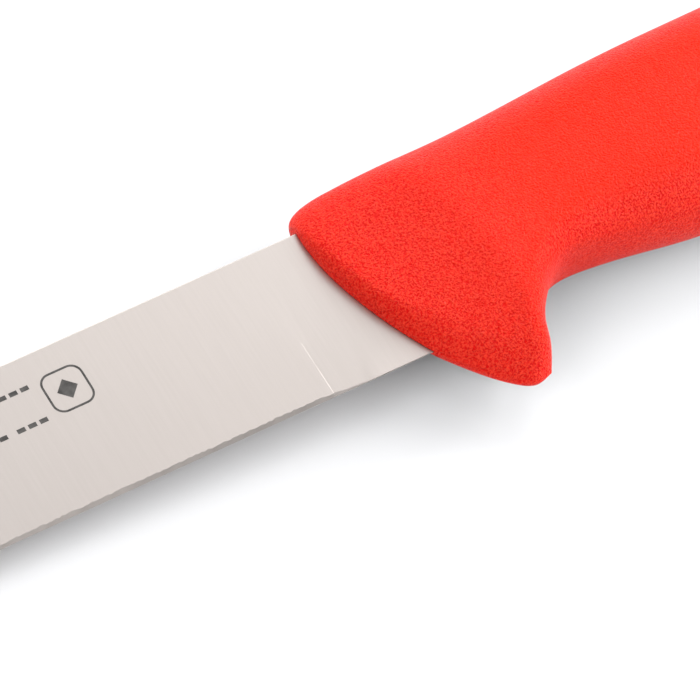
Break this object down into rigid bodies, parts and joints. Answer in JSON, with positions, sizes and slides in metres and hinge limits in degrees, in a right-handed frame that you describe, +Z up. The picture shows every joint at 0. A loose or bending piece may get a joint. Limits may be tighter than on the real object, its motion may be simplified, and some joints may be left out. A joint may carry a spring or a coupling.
{
  "type": "boning knife",
  "caption": "Boning knife with a straight flat-ground steel blade, a moulded red handle with a finger guard and a hidden tang; shown lying on its side.",
  "frame": {"origin": "centre of the bounding box's base, on the surface that the knife lies on", "axes": "+X along the knife towards the butt of the handle, +Y towards the spine side, +Z up; the knife lies on its side, so +Z is out of the upper cheek"},
  "size_m": [0.313, 0.0458, 0.0231],
  "materials": {
    "blade_steel": "satin ground across the blade, polished edge bevel",
    "core_plastic": "plain moulded, unseen",
    "grip_plastic": "fine moulded grain, softly matte"
  },
  "bodies": {
    "root": {"blade": "blade_steel", "handle_core": "core_plastic", "handle_grip": "grip_plastic"}
  },
  "joints": []
}
